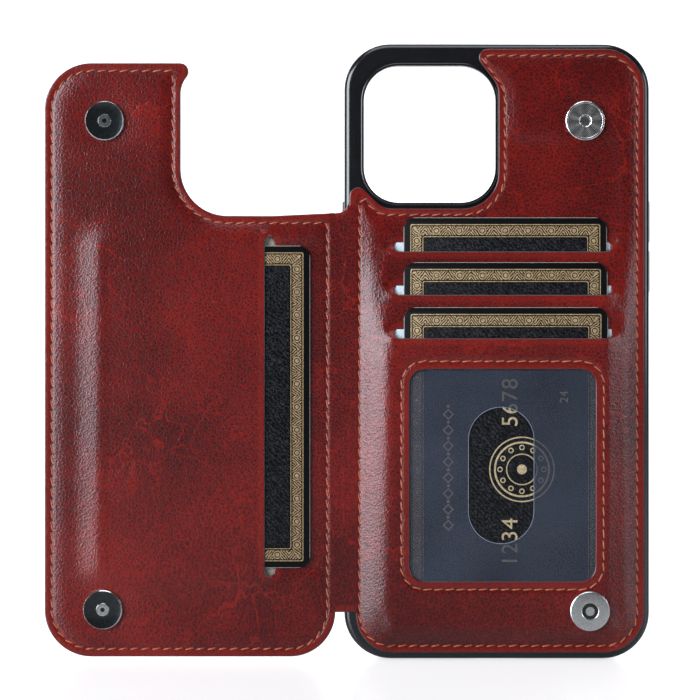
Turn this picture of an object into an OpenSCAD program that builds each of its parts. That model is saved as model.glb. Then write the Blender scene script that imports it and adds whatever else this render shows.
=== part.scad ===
// Phone wallet case: a moulded shell with a stitched leather card wallet on its back and a
// snap-down flap on a two-fold spine.
// +Z runs up the case, -Y is the wallet side, +Y the screen side. The origin is on the shell's
// bottom face, at mid width, in the plane that the phone's back lies against. The flap lies open
// to -X. "depth" is the distance out from the front of the wallet's base panel, towards -Y.

/* [Phone] */
// Width of the phone that the shell holds
phone_w = 78.1; // [76:0.1:80]
// Height of that phone
phone_h = 160.8; // [158:0.1:163]
// Thickness of that phone
phone_t = 7.4; // [7:0.1:9]

/* [Shell] */
// Thickness of the shell's side walls
wall = 1.6; // [1.2:0.1:2]
// Thickness of the shell's back
back_t = 1.2; // [1:0.1:2]
// Thickness of the lip round the screen
lip_t = 1; // [0.6:0.1:1.5]
// Overhang of the lip over the screen's edge
lip_w = 1.2; // [0.6:0.1:2]
// Outer corner radius
shell_r = 12.3; // [8:0.1:14]
// Width of the camera cut-out
camera_w = 35; // [30:0.1:36]
// Height of the camera cut-out
camera_h = 36.4; // [30:0.1:38]
// Corner radius of the camera cut-out
camera_r = 9.3; // [6:0.1:12]

/* [Leather] */
// Thickness of one layer of leather
leather = 0.45; // [0.3:0.05:0.5]
// Thickness of the base panel glued to the shell
base_t = 0.5; // [0.4:0.1:0.8]
// Thickness of the flap's stiffening board
board_t = 0.6; // [0.4:0.1:0.8]
// Thickness of the pocket lining
lining = 0.12; // [0.1:0.01:0.15]
// Diameter of the sewing thread
thread = 0.5; // [0.3:0.1:0.7]

/* [Cards] */
// Width of a card
card_w = 53.98; // [53.9:0.01:54]
// Height of a card
card_h = 85.6; // [85.4:0.1:85.6]
// Thickness of a card
card_t = 0.76; // [0.7:0.01:0.8]
// Height of the highest slot's lip
first_lip = 108.6; // [107:0.1:110]
// Distance from one slot's lip to the next
lip_pitch = 11.55; // [11:0.05:12]
// How much of the highest card stands above its lip
card_show = 9; // [8:0.1:9.5]
// Height of a slot's opening
slot_h = 2.4; // [2:0.1:3]

/* [Window] */
// Width of the window
window_w = 49; // [40:1:50]
// Height of the window
window_h = 56; // [48:1:56]

/* [Flap] */
// Width of the spine between its two folds
spine_w = 5.5; // [5.4:0.1:6.5]
// Width of the flap from its fold to its free edge
flap_w = 77.4; // [76:0.1:78]
// Height of the flap
flap_h = 158; // [156:0.1:158]
// How much of the flap's card shows past its slit
flap_card_show = 12; // [8:0.1:13]

/* [Snaps] */
// Diameter of a snap
snap_d = 10.4; // [9:0.1:11]
// How far a snap stands out of the leather
snap_t = 1.15; // [1:0.05:1.15]

/* [Hidden] */
$fn = 64;
eps = 0.01;
fit = 0.03;              // room on each face of a card
phone_gap = 0.1;         // room round the phone

card_r = 3.18;            // corners of a card

// Shell
cavity_w = phone_w + 2 * phone_gap;
cavity_h = phone_h + 2 * phone_gap;
cavity_t = phone_t + 2 * phone_gap;
shell_w = cavity_w + 2 * wall;
shell_h = cavity_h + 2 * wall;
shell_back = -back_t;                  // y of the shell's back face
cavity_back = 0;
cavity_front = cavity_t;
shell_front = cavity_front + lip_t;
camera_x = -18;
camera_z = shell_h - 24.4;
rim_w = 0.8;
rim_gap = 0.05;
rim_h = 1;
wall_mid_y = (cavity_back + cavity_front) / 2;
// Holes in the bottom wall: [x, width, height]
charging_port = [0, 13, 5.6];
speaker_slot = [20, 15, 3];

// Side buttons, by height of their middle and by length
power_z = shell_h - 51;
power_len = 18;
volume_up_z = shell_h - 47.4;
volume_down_z = shell_h - 60.7;
volume_len = 11.4;
mute_z = shell_h - 32.8;
mute_len = 9;
mute_w = 4.6;
button_y_w = 3.4;
button_proud = 0.5;
button_sunk = 0.45;      // hollow behind a button, for its travel
button_gap = 0.15;

// Wallet panel on the case
fold_a_x = -37.6;                      // fold between case and spine
fold_b_x = fold_a_x - spine_w;         // fold between spine and flap
zero_y = shell_back - base_t;          // y at depth 0
panel_right = 39.2;
panel_bottom = 1.8;
panel_top = 162.6;
panel_r = 11;
notch_x = 0.45;                        // camera notch: its side edge
notch_z = 120.8;                       // camera notch: its lower edge
notch_r = 9.5;
stitch_inset = 2;
spine_bottom = 12.6;
spine_top = 119.7;
fold_gap = 0.05;
ear_r = 2.4;                            // ear where the notch meets the spine

// Cards and slots, number 0 being the highest
card_x = 2.05;
slot_left = -27.4;
slot_right = 30.1;
lips = [for (i = [0:2]) first_lip - i * lip_pitch];
card_tops = [for (i = [0:2]) lips[i] + card_show - i * 0.4];
card_feet = [for (top = card_tops) top - card_h];
stack = fit + lining + fit;            // from one card to the next behind the lips
// Depth of the back of card i at height z: each card leans out from its foot to clear the lip
// of leather that the card behind it tucks under.
function lean(z, z0, d0, z1, d1) = d0 + (d1 - d0) * (z - z0) / (z1 - z0);
function back_0(z) = lean(z, card_feet[0], stack, lips[0], leather + fit);
function back_1(z) = lean(z,
  card_feet[0], back_0(card_feet[0]) + card_t + stack,
  lips[1], back_0(lips[1]) + card_t + leather + 2 * fit);
function back_2(z) = lean(z,
  card_feet[1], back_1(card_feet[1]) + card_t + stack,
  lips[2], back_1(lips[2]) + card_t + leather + 2 * fit);
function card_back(i, z) = i == 0 ? back_0(z) : i == 1 ? back_1(z) : back_2(z);
function card_lean(i) = atan((card_back(i, 100) - card_back(i, 0)) / 100);
film_t = 0.25;
lining_step = 0.2;       // lining stops this far above the card below
pocket_floor = 7;                      // height of the pocket's closed lower end
side_wall = 1;                         // leather beside the slots' ends
// Depth of the back of the leather that covers card i
function cover_back(i, z) = card_back(i, z) + card_t + fit + (i == 2 ? film_t : 0);

// Window
window_x = 1.15;
window_z = 49.2;
window_r = 3.9;
thumb_w = 17.2;
thumb_h = 36;
thumb_x = 0.8;
film_margin = 2;

// Flap
flap_left = fold_b_x - flap_w;
flap_bottom = 0.8;
board_inset = 0.6;
pocket_room = 0.6;       // room round the flap card in its pocket
lining_inset = 0.1;
flap_top = flap_bottom + flap_h;
flap_r = 12.5;
flap_notch_x = -84.3;
flap_notch_z = 118.2;
slit_x = -61.8;
flap_card_z = 67.3;
flap_card_right = slit_x + flap_card_show;
flap_card_left = flap_card_right - card_w;
flap_card_depth = leather + fit;       // back of the flap's card
flap_cover_depth = flap_card_depth + card_t + fit;

// Snaps
case_top_snap = [23.3, 143.3];
case_bottom_snap = [24.2, 13.4];
flap_snaps = [[-104.4, 143.3], [-104.9, 13.4]];
post_d = 2.4;
post_gap = 0.1;
cap_wall = 0.3;
magnet_gap = 0.1;
case_cap_hole = 4.2;
flap_cap_hole = 3.4;
washer_d = 8;
washer_t = 0.25;
washer_room = 0.6;
eyelet_hole = 1.2;
lower_lean = card_lean(2);

// A prism along Y between two depths, from a flat shape drawn in X and Z
module layer(from, to) {
  translate([0, zero_y - from, 0])
    rotate([90, 0, 0])
      linear_extrude(to - from)
        children();
}

// A rounded rectangle given by its edges
module rounded(left, bottom, right, top, r) {
  translate([left + r, bottom])
    square([right - left - 2 * r, top - bottom]);
  translate([left, bottom + r])
    square([right - left, top - bottom - 2 * r]);
  for (x = [left + r, right - r], z = [bottom + r, top - r])
    translate([x, z])
      circle(r);
}

// A slot with round ends, along X
module stadium(w, h) {
  square([w - h, h], center = true);
  for (side = [-1, 1])
    translate([side * (w - h) / 2, 0])
      circle(h / 2);
}

// Shell and its buttons

module shell_prism(inset, from_y, to_y, r) {
  translate([0, to_y, 0])
    rotate([90, 0, 0])
      linear_extrude(to_y - from_y)
        rounded(-shell_w / 2 + inset, inset, shell_w / 2 - inset, shell_h - inset, r);
}

module camera_outline(grow) {
  translate([camera_x, camera_z])
    rounded(-camera_w / 2 - grow, -camera_h / 2 - grow, camera_w / 2 + grow,
      camera_h / 2 + grow, camera_r + grow);
}

module side_hole(side, z, length, width) {
  translate([side * (shell_w / 2 - wall / 2), wall_mid_y, z])
    cube([wall + 2, width, length], center = true);
}

module button_hole(side, z, length) {
  side_hole(side, z, length + 2 * button_gap, button_y_w + 2 * button_gap);
}

module bottom_ports() {
  for (port = [charging_port, speaker_slot, [-speaker_slot[0], speaker_slot[1], speaker_slot[2]]])
    translate([port[0], wall_mid_y, -1])
      linear_extrude(wall + 2)
        stadium(port[1], port[2]);
}

module tpu_shell() {
  color("#141416")
    difference() {
      union() {
        shell_prism(0, shell_back, shell_front, shell_r);
        layer(-base_t - eps, rim_h - base_t)
          camera_outline(rim_w);
      }
      shell_prism(wall, cavity_back, cavity_front, shell_r - wall);
      shell_prism(wall + lip_w, cavity_front - eps, shell_front + 1, shell_r - wall - lip_w);
      layer(-base_t - back_t - 1, rim_h)
        camera_outline(0);
      button_hole(-1, power_z, power_len);
      button_hole(1, volume_up_z, volume_len);
      button_hole(1, volume_down_z, volume_len);
      side_hole(1, mute_z, mute_len, mute_w);
      bottom_ports();
    }
}

module button(side, z, length) {
  depth = wall + button_proud - button_sunk;
  color("#1b1b1e")
    translate([side * (shell_w / 2 + button_proud - depth / 2), wall_mid_y, z])
      cube([depth, button_y_w, length], center = true);
}

module power_button() {
  button(-1, power_z, power_len);
}

module volume_up_button() {
  button(1, volume_up_z, volume_len);
}

module volume_down_button() {
  button(1, volume_down_z, volume_len);
}

// Wallet on the case

module camera_notch() {
  difference() {
    rounded(fold_a_x - 40, notch_z, notch_x, panel_top + 40, notch_r);
    // the small ear beside the camera, above the spine
    translate([fold_a_x + ear_r, notch_z + ear_r])
      circle(ear_r);
    translate([fold_a_x, notch_z - 1])
      square([2 * ear_r, ear_r + 1]);
  }
}

// The wallet panel's outline, or a line that runs inside it
module panel_outline(inset) {
  difference() {
    rounded(fold_a_x + fold_gap + inset, panel_bottom + inset, panel_right - inset,
      panel_top - inset, panel_r - inset);
    if (inset == 0)
      camera_notch();
    else
      rounded(fold_a_x - 40, notch_z - inset, notch_x + inset, panel_top + 40, notch_r + inset);
  }
}

// The thread lies flush, in a groove round the panel
module case_thread(from, to) {
  layer(from, to)
    difference() {
      panel_outline(stitch_inset - thread / 2);
      panel_outline(stitch_inset + thread / 2);
    }
}

module snap_hole(at, d, from, to) {
  layer(from, to)
    translate(at)
      circle(d = d);
}

module case_base_panel() {
  color("#3a0f10")
    difference() {
      layer(-base_t, 0)
        difference() {
          panel_outline(0);
          camera_outline(rim_w + rim_gap);
        }
      snap_hole(case_top_snap, washer_d + washer_room, -base_t - 1, 1);
    }
}

// The pockets seen from the side, as points [z, depth]: the leather's outer face from the top
// slot down to the pocket's floor, stepping out at each lip.
cover_top = [for (i = [0:2]) [lips[i], cover_back(i, lips[i])]];
cover_foot = [
  [lips[1] + slot_h, cover_back(0, lips[1] + slot_h)],
  [lips[2] + slot_h, cover_back(1, lips[2] + slot_h)],
  [pocket_floor, cover_back(2, pocket_floor)]
];

// A prism along X from a shape given as [z, depth] points
module along_x(left, right, points) {
  translate([left, zero_y, 0])
    rotate([90, 0, 90])
      linear_extrude(right - left)
        polygon([for (p = points) [-p[1], p[0]]]);
}

module band(i, left, right) {
  top = cover_top[i];
  foot = cover_foot[i];
  along_x(left, right, [
    top,
    foot,
    foot + [0, leather],
    top + [0, leather]
  ]);
}

module pocket_side(left, right) {
  for (i = [0:2]) {
    low = i < 2 ? lips[i + 1] : pocket_floor;
    along_x(left, right, [
      [lips[i], leather / 2],
      [low, leather / 2],
      [low, cover_back(i, low) + leather],
      [lips[i], cover_back(i, lips[i]) + leather]
    ]);
  }
}

module case_front_leather() {
  color("#6e1c1c")
    difference() {
      union() {
        layer(0, leather)
          difference() {
            panel_outline(0);
            translate([slot_left, pocket_floor])
              square([slot_right - slot_left, lips[0] + slot_h - pocket_floor]);
          }
        for (i = [0:2])
          band(i, slot_left - side_wall, slot_right + side_wall);
        pocket_side(slot_left - side_wall, slot_left);
        pocket_side(slot_right, slot_right + side_wall);
        along_x(slot_left - side_wall, slot_right + side_wall, [
          [pocket_floor - leather, leather / 2],
          [pocket_floor, leather / 2],
          [pocket_floor, cover_back(2, pocket_floor) + leather],
          [pocket_floor - leather, cover_back(2, pocket_floor) + leather]
        ]);
      }
      layer(-1, 8)
        translate([window_x, window_z])
          rounded(-window_w / 2, -window_h / 2, window_w / 2, window_h / 2, window_r);
      case_thread(leather - thread / 2, leather + 1);
      snap_hole(case_top_snap, post_d + 2 * post_gap, -1, 1);
      on_lower_leather()
        translate([0, 0, -1])
          cylinder(d = post_d + 2 * post_gap, h = 3);
    }
}

// Places a shape that stands along +Z on the back of the leather at the lower snap, leaning
// with it
module on_lower_leather() {
  z = case_bottom_snap[1];
  translate([case_bottom_snap[0], zero_y - cover_back(2, z), z])
    rotate([90 + lower_lean, 0, 0])
      children();
}

module on_upper_leather() {
  translate([case_top_snap[0], zero_y, case_top_snap[1]])
    rotate([90, 0, 0])
      children();
}

// Each lining hangs just behind its card, from the leather band above the slot to the foot of
// the card
module slot_linings() {
  color("#dfe4ea")
    for (i = [0:2]) {
      top = lips[i] + slot_h;
      foot = i == 0 ? card_feet[0] : card_feet[i - 1] + lining_step;
      back = [for (z = [top, foot]) card_back(i, z) - fit];
      along_x(slot_left + fit, slot_right - fit, [
        [top, back[0] - lining],
        [foot, back[1] - lining],
        [foot, back[1]],
        [top, back[0]]
      ]);
    }
}

module window_film() {
  color("#c8d4e0", 0.35)
    difference() {
      along_x(window_x - window_w / 2 - film_margin, window_x + window_w / 2 + film_margin, [
        for (z = [window_z + window_h / 2 + film_margin, window_z - window_h / 2 - film_margin])
          [z, cover_back(2, z)],
        for (z = [window_z - window_h / 2 - film_margin, window_z + window_h / 2 + film_margin])
          [z, cover_back(2, z) - film_t]
      ]);
      layer(-1, 8)
        translate([thumb_x, window_z])
          rotate(90)
            stadium(thumb_h, thumb_w);
    }
}

module case_stitching() {
  color("#b5532a")
    case_thread(leather - thread / 2, leather);
}

module window_stitching() {
  grow = 2.3;
  z = window_z;
  color("#b5532a")
    translate([window_x, zero_y - cover_back(2, z) - leather, z])
      rotate([90 + lower_lean, 0, 0])
        linear_extrude(thread / 2)
          difference() {
            window_ring(grow + thread / 2);
            window_ring(grow - thread / 2);
          }
}

module window_ring(grow) {
  rounded(-window_w / 2 - grow, -window_h / 2 - grow, window_w / 2 + grow,
    window_h / 2 + grow, window_r + grow);
}

// Snaps. Each is drawn along +Z from the back of the leather it is set in.

module snap_cap(hole) {
  translate([0, 0, leather])
    difference() {
      cylinder(d = snap_d, h = snap_t);
      translate([0, 0, -eps])
        cylinder(d = snap_d - 2 * cap_wall, h = snap_t - cap_wall + eps);
      cylinder(d = hole, h = snap_t + 1);
    }
}

module snap_core() {
  translate([0, 0, leather])
    difference() {
      cylinder(d = snap_d - 2 * cap_wall - magnet_gap, h = snap_t - cap_wall);
      translate([0, 0, -1])
        cylinder(d = post_d + 2 * post_gap, h = snap_t + 1);
    }
}

module snap_washer() {
  translate([0, 0, -washer_t])
    difference() {
      cylinder(d = washer_d, h = washer_t);
      translate([0, 0, -1])
        cylinder(d = post_d + 2 * post_gap, h = washer_t + 2);
    }
}

module snap_post(length) {
  translate([0, 0, -washer_t])
    cylinder(d = post_d, h = washer_t + length);
}

module case_top_snap_cap() {
  color("#c9c9c6")
    on_upper_leather()
      snap_cap(3);
}

module case_bottom_snap_cap() {
  color("#bdbdbd")
    on_lower_leather()
      snap_cap(case_cap_hole);
}

module case_snap_magnets() {
  color("#7d7f82") {
    on_upper_leather()
      snap_core();
    on_lower_leather()
      snap_core();
  }
}

module case_snap_posts() {
  color("#a9abad") {
    on_upper_leather()
      snap_post(leather + snap_t / 2);
    on_lower_leather()
      snap_post(leather + snap_t);
  }
}

module case_snap_washers() {
  color("#8d8f91") {
    on_upper_leather()
      snap_washer();
    on_lower_leather()
      snap_washer();
  }
}

// Spine

module spine_strip() {
  translate([fold_b_x, spine_bottom])
    square([spine_w, spine_top - spine_bottom]);
}

module spine_inner_leather() {
  color("#6e1c1c")
    layer(0, leather)
      spine_strip();
}

module spine_outer_leather() {
  color("#6e1c1c")
    layer(-leather, 0)
      spine_strip();
}

// Flap

module flap_outline(inset) {
  difference() {
    rounded(flap_left + inset, flap_bottom + inset, fold_b_x - fold_gap - inset, flap_top - inset,
      flap_r - inset);
    rounded(flap_notch_x - inset, flap_notch_z - inset, fold_b_x + 40, flap_top + 40,
      flap_r + inset);
  }
}

module flap_snap_holes(d) {
  for (at = flap_snaps)
    snap_hole(at, d, -3, 3);
}

module flap_pocket_area(grow) {
  translate([flap_card_left - pocket_room - grow, flap_card_z - card_h / 2 - pocket_room - grow])
    square([slit_x - flap_card_left + pocket_room + grow, card_h + 2 * (pocket_room + grow)]);
}

module flap_outer_leather() {
  color("#6e1c1c")
    layer(-board_t - leather, -board_t)
      flap_outline(0);
}

module flap_board() {
  color("#9a8f80")
    difference() {
      layer(-board_t, 0)
        flap_outline(board_inset);
      flap_snap_holes(washer_d + washer_room);
    }
}

module flap_inner_leather() {
  color("#6e1c1c")
    difference() {
      union() {
        layer(0, leather)
          difference() {
            flap_outline(0);
            flap_pocket_area(0);
          }
        layer(leather - eps, flap_cover_depth)
          difference() {
            flap_pocket_area(side_wall);
            flap_pocket_area(0);
          }
        layer(flap_cover_depth - eps, flap_cover_depth + leather)
          flap_pocket_area(side_wall);
      }
      flap_thread(leather - thread / 2, leather + 1);
      flap_snap_holes(post_d + 2 * post_gap);
    }
}

module flap_pocket_lining() {
  color("#dfe4ea")
    layer(leather - lining, leather)
      flap_pocket_area(-lining_inset);
}

module flap_thread(from, to) {
  layer(from, to)
    difference() {
      flap_outline(stitch_inset - thread / 2);
      flap_outline(stitch_inset + thread / 2);
    }
}

module flap_stitching() {
  color("#b5532a")
    flap_thread(leather - thread / 2, leather);
}

module on_flap(at) {
  translate([at[0], zero_y, at[1]])
    rotate([90, 0, 0])
      children();
}

module flap_snap_caps() {
  color("#4a4c50")
    for (at = flap_snaps)
      on_flap(at)
        snap_cap(flap_cap_hole);
}

module flap_snap_plates() {
  color("#7d7f82")
    for (at = flap_snaps)
      on_flap(at)
        snap_core();
}

module flap_snap_eyelets() {
  color("#d5d6d8")
    for (at = flap_snaps)
      on_flap(at)
        difference() {
          snap_post(leather + snap_t);
          translate([0, 0, -1])
            cylinder(d = eyelet_hole, h = 4);
        }
}

module flap_snap_washers() {
  color("#8d8f91")
    for (at = flap_snaps)
      on_flap(at)
        snap_washer();
}

// Cards

module card_shape() {
  rounded(-card_w / 2, 0, card_w / 2, card_h, card_r);
}

module slot_card(i) {
  color("#15161a")
    translate([card_x, zero_y - card_back(i, card_feet[i]), card_feet[i]])
      rotate([90 + card_lean(i), 0, 0])
        linear_extrude(card_t)
          card_shape();
}

module card_top() {
  slot_card(0);
}

module card_middle() {
  slot_card(1);
}

module card_bottom() {
  slot_card(2);
}

module flap_card() {
  color("#15161a")
    layer(flap_card_depth, flap_card_depth + card_t)
      translate([(flap_card_left + flap_card_right) / 2, flap_card_z - card_h / 2])
        card_shape();
}

tpu_shell();
power_button();
volume_up_button();
volume_down_button();
case_base_panel();
case_front_leather();
slot_linings();
window_film();
case_stitching();
window_stitching();
case_top_snap_cap();
case_bottom_snap_cap();
case_snap_magnets();
case_snap_posts();
case_snap_washers();
spine_outer_leather();
spine_inner_leather();
flap_outer_leather();
flap_board();
flap_inner_leather();
flap_pocket_lining();
flap_stitching();
flap_snap_caps();
flap_snap_plates();
flap_snap_eyelets();
flap_snap_washers();
card_top();
card_middle();
card_bottom();
flap_card();
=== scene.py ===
import bpy
import math
import numpy as np
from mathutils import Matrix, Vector
from mathutils.geometry import delaunay_2d_cdt


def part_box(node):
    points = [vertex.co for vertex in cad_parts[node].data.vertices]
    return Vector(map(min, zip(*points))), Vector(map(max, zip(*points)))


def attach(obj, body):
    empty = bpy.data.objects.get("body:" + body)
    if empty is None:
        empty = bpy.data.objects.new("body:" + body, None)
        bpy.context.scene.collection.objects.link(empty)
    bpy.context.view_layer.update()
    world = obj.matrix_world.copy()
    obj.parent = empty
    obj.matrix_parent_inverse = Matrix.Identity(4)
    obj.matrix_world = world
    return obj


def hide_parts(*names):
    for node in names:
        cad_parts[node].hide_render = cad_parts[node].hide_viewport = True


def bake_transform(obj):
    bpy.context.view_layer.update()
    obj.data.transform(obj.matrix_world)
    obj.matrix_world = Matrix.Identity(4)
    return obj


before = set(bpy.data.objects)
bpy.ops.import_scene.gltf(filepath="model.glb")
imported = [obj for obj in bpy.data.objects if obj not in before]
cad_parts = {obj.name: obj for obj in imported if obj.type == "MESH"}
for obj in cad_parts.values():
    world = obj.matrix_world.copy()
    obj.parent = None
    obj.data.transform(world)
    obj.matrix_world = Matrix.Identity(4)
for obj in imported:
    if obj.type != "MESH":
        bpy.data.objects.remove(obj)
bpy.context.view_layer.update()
mm = 0.001
print("frame loaded,", len(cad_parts), "nodes")

# Depth is measured in mm out of the front of the base panel, towards the wallet side
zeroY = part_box("case_base_panel")[0].y / mm
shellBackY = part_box("case_base_panel")[1].y / mm
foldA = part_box("spine_inner_leather")[1].x / mm  # fold between case and spine
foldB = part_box("spine_inner_leather")[0].x / mm  # fold between spine and flap

leather = {
    "thick": 0.45,
    "rim": 0.34,  # rounding of a cut edge
    "paint": 0.28,  # width of the painted edge on the face
    "rubbedAndHighlit": 2.2,  # how far in from a cut edge the leather is brighter: rubbed wear along the outer border, painted highlight along the slot lips, the flap slit and the window
    "rubAndHighlightFade": 0.8,
    "groove": 0.2,  # how deep a seam pulls the leather down
    "grooveWidth": 0.42,
    "pitch": 2.95,  # from one stitch to the next
    "step": 1.5,  # size of the mesh inside a panel
    "rings": [0.07, 0.16, 0.26, 0.42, 0.8, 1.25, 1.6, 1.9, 2.2, 2.6, 3.2, 4.0, 5.0],
}


# Softens a rise from 0 to 1 at both ends
def smooth(t):
    t = np.clip(t, 0, 1)
    return t * t * (3 - 2 * t)


# Rises straight from 0 to 1, with only its two ends softened
def slope(t):
    soft = 0.14
    return np.mean([np.clip(t + shift, 0, 1) for shift in np.linspace(-soft, soft, 9)], axis=0)


# A closed outline in X and Z from corners given as (x, z, radius), each radius drawn as an arc
def roundedOutline(corners, spacing=0.9):
    points = []
    for i, corner in enumerate(corners):
        before = Vector(corners[i - 1][:2])
        here = Vector(corner[:2])
        after = Vector(corners[(i + 1) % len(corners)][:2])
        into = (before - here).normalized()
        out = (after - here).normalized()
        half = into.angle(out) / 2
        first = here + into * corner[2] / math.tan(half)
        centre = here + (into + out).normalized() * corner[2] / math.sin(half)
        turn = (math.pi - 2 * half) * (1 if (-into).cross(out) > 0 else -1)
        steps = max(3, round(abs(turn) * corner[2] / spacing))
        for k in range(steps + 1):
            a = turn * k / steps
            arm = first - centre
            points.append(centre + Vector((
                arm.x * math.cos(a) - arm.y * math.sin(a),
                arm.x * math.sin(a) + arm.y * math.cos(a),
            )))
    return resample(np.array([tuple(p) for p in points]), spacing)


# A box with rounded corners, from its left, low, right and high sides
def roundedBox(left, low, right, high, radius, spacing=0.9):
    corners = [(left, low), (right, low), (right, high), (left, high)]
    return roundedOutline([(*corner, radius) for corner in corners], spacing)


# Adds points on the long straight stretches of a closed outline
def resample(points, spacing):
    full = []
    for a, b in zip(points, np.roll(points, -1, axis=0)):
        steps = max(1, int(np.linalg.norm(b - a) / spacing))
        full += [a + (b - a) * k / steps for k in range(steps)]
    return np.array(full)


# Points spread evenly round a closed outline, with the direction of travel at each
def evenly(points, pitch):
    ends = np.vstack([points, points[:1]])
    along = np.concatenate([[0], np.cumsum(np.linalg.norm(np.diff(ends, axis=0), axis=1))])
    count = round(along[-1] / pitch)
    at = (np.arange(count) + 0.5) * along[-1] / count
    lookAhead = 0.3
    places = np.column_stack([np.interp(at, along, ends[:, k]) for k in (0, 1)])
    ahead = np.column_stack([np.interp(at + lookAhead, along, ends[:, k]) for k in (0, 1)])
    way = ahead - places
    return places, way / np.maximum(np.linalg.norm(way, axis=1), 1e-9)[:, None]


# The outline moved sideways: to its left for a positive distance
def offsetOutline(points, distance):
    along = np.roll(points, -1, axis=0) - np.roll(points, 1, axis=0)
    along /= np.linalg.norm(along, axis=1)[:, None]
    return points + np.column_stack([-along[:, 1], along[:, 0]]) * distance


def distanceTo(points, outline):
    a = outline
    b = np.roll(outline, -1, axis=0)
    best = np.full(len(points), 1e9)
    for p, q in zip(a, b):
        side = q - p
        share = np.clip((points - p) @ side / max(side @ side, 1e-12), 0, 1)
        best = np.minimum(best, np.linalg.norm(points - p - share[:, None] * side, axis=1))
    return best


def isInside(points, outline):
    inside = np.zeros(len(points), bool)
    for p, q in zip(outline, np.roll(outline, -1, axis=0)):
        crosses = (p[1] > points[:, 1]) != (q[1] > points[:, 1])
        rise = q[1] - p[1] if q[1] != p[1] else 1e-12
        left = points[:, 0] < (q[0] - p[0]) * (points[:, 1] - p[1]) / rise + p[0]
        inside ^= crosses & left
    return inside


def deselectAll():
    if bpy.context.mode != "OBJECT":
        bpy.ops.object.mode_set(mode="OBJECT")
    bpy.ops.object.select_all(action="DESELECT")


def choose(obj):
    deselectAll()
    obj.select_set(True)
    bpy.context.view_layer.objects.active = obj


def smoothShade(obj, degrees=40):
    choose(obj)
    bpy.ops.object.shade_smooth_by_angle(angle=math.radians(degrees))


def meshObject(name, points, faces):
    mesh = bpy.data.meshes.new(name)
    mesh.from_pydata([tuple(p) for p in points], [], faces)
    obj = bpy.data.objects.new(name, mesh)
    bpy.context.scene.collection.objects.link(obj)
    return obj


def fixNormals(obj):
    choose(obj)
    bpy.ops.object.mode_set(mode="EDIT")
    bpy.ops.mesh.select_all(action="SELECT")
    bpy.ops.mesh.normals_make_consistent(inside=False)
    bpy.ops.object.mode_set(mode="OBJECT")


def nearestEdge(points, loops):
    return np.min([distanceTo(points, loop) for loop in loops], axis=0)


# True for the points on a sheet and in none of its holes
def isOnSheet(points, outline, holes):
    keep = isInside(points, outline)
    for hole in holes:
        keep &= ~isInside(points, hole)
    return keep


spread = {
    "ringGap": 0.93,  # a ring's points keep this share of its distance from the other edges
    "rowGap": 0.87,  # from one row of the grid to the next
    "gridGap": 0.4,  # from the last ring to the grid
    "same": 1e-5,  # points closer than this are one
}


# Points inside a sheet: rings that follow each edge, and a grid over the rest
def pointsInside(outline, holes, rings, step):
    loops = [outline] + holes
    points = []
    for loop in loops:
        inwards = 1 if loop is outline else -1
        for distance in rings:
            ring = offsetOutline(loop, inwards * distance)
            keep = isOnSheet(ring, outline, holes)
            for other in loops:
                keep &= distanceTo(ring, other) > distance * spread["ringGap"]
            points.append(ring[keep])
    low, high = outline.min(0), outline.max(0)
    grid = np.array([
        (x + (row % 2) * step / 2, z)
        for row, z in enumerate(np.arange(low[1], high[1], step * spread["rowGap"]))
        for x in np.arange(low[0], high[0], step)
    ])
    keep = isOnSheet(grid, outline, holes)
    for loop in loops:
        keep &= distanceTo(grid, loop) > rings[-1] + step * spread["gridGap"]
    points.append(grid[keep])
    return points


# A sheet's flat points and triangles, with its outline and holes cut exactly
def flatSheet(outline, holes, rings, step):
    loops = [outline] + holes
    edges = []
    count = 0
    for loop in loops:
        edges += [(count + k, count + (k + 1) % len(loop)) for k in range(len(loop))]
        count += len(loop)
    flat = [Vector(p) for p in np.vstack(loops + pointsInside(outline, holes, rings, step))]
    cut = delaunay_2d_cdt(flat, edges, [], 0, spread["same"])
    points = np.array([tuple(p) for p in cut[0]])
    triangles = np.array(cut[2])
    triangles = triangles[isOnSheet(points[triangles].mean(1), outline, holes)]
    used = np.unique(triangles)
    newNumber = np.full(len(points), -1)
    newNumber[used] = np.arange(len(used))
    return points[used], newNumber[triangles]


# A leather sheet. front(x, z, edge) and back(x, z, edge) give the depth of its two faces, edge
# being the distance to the cut edge
def cutSheet(name, outline, holes, front, back, edgeOf=nearestEdge,
             rings=leather["rings"], step=leather["step"]):
    points, triangles = flatSheet(outline, holes, rings, step)
    edge = edgeOf(points, [outline] + holes)
    x, z = points[:, 0], points[:, 1]
    top = np.column_stack([x, zeroY - front(x, z, edge), z])
    under = np.column_stack([x, zeroY - back(x, z, edge), z])
    size = len(points)
    faces = [tuple(int(k) for k in t) for t in triangles]
    sides = dict.fromkeys((t[k], t[(k + 1) % 3]) for t in faces for k in range(3))
    faces += [tuple(k + size for k in reversed(t)) for t in faces]
    # a side that only one triangle has is on the cut edge
    walls = [(b, a, a + size, b + size) for a, b in sides if (b, a) not in sides]
    obj = meshObject(name, np.vstack([top, under]) * mm, faces + walls)
    fixNormals(obj)
    # the cut edge and the narrow ring beside it are painted
    painted = np.zeros(len(faces) + len(walls), np.int32)
    painted[len(faces):] = 1
    atEdge = (edge[triangles] < leather["paint"]).all(1)
    painted[:len(triangles)][atEdge] = 1
    obj.data.polygons.foreach_set("material_index", painted)
    # brighter towards each cut edge: rubbed wear along the outer border, painted highlight along the slot
    # lips, the flap slit and the window
    edgeRubAndHighlight = obj.data.attributes.new("edgeRubAndHighlight", "FLOAT", "POINT")
    rubbedAndHighlit = smooth((leather["rubbedAndHighlit"] - edge) / leather["rubAndHighlightFade"])
    edgeRubAndHighlight.data.foreach_set("value", np.tile(rubbedAndHighlit, 2).astype(np.float32))
    smoothShade(obj, 50)
    return obj


def addMaterials(obj, *materials):
    for material in materials:
        obj.data.materials.append(material)


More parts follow.
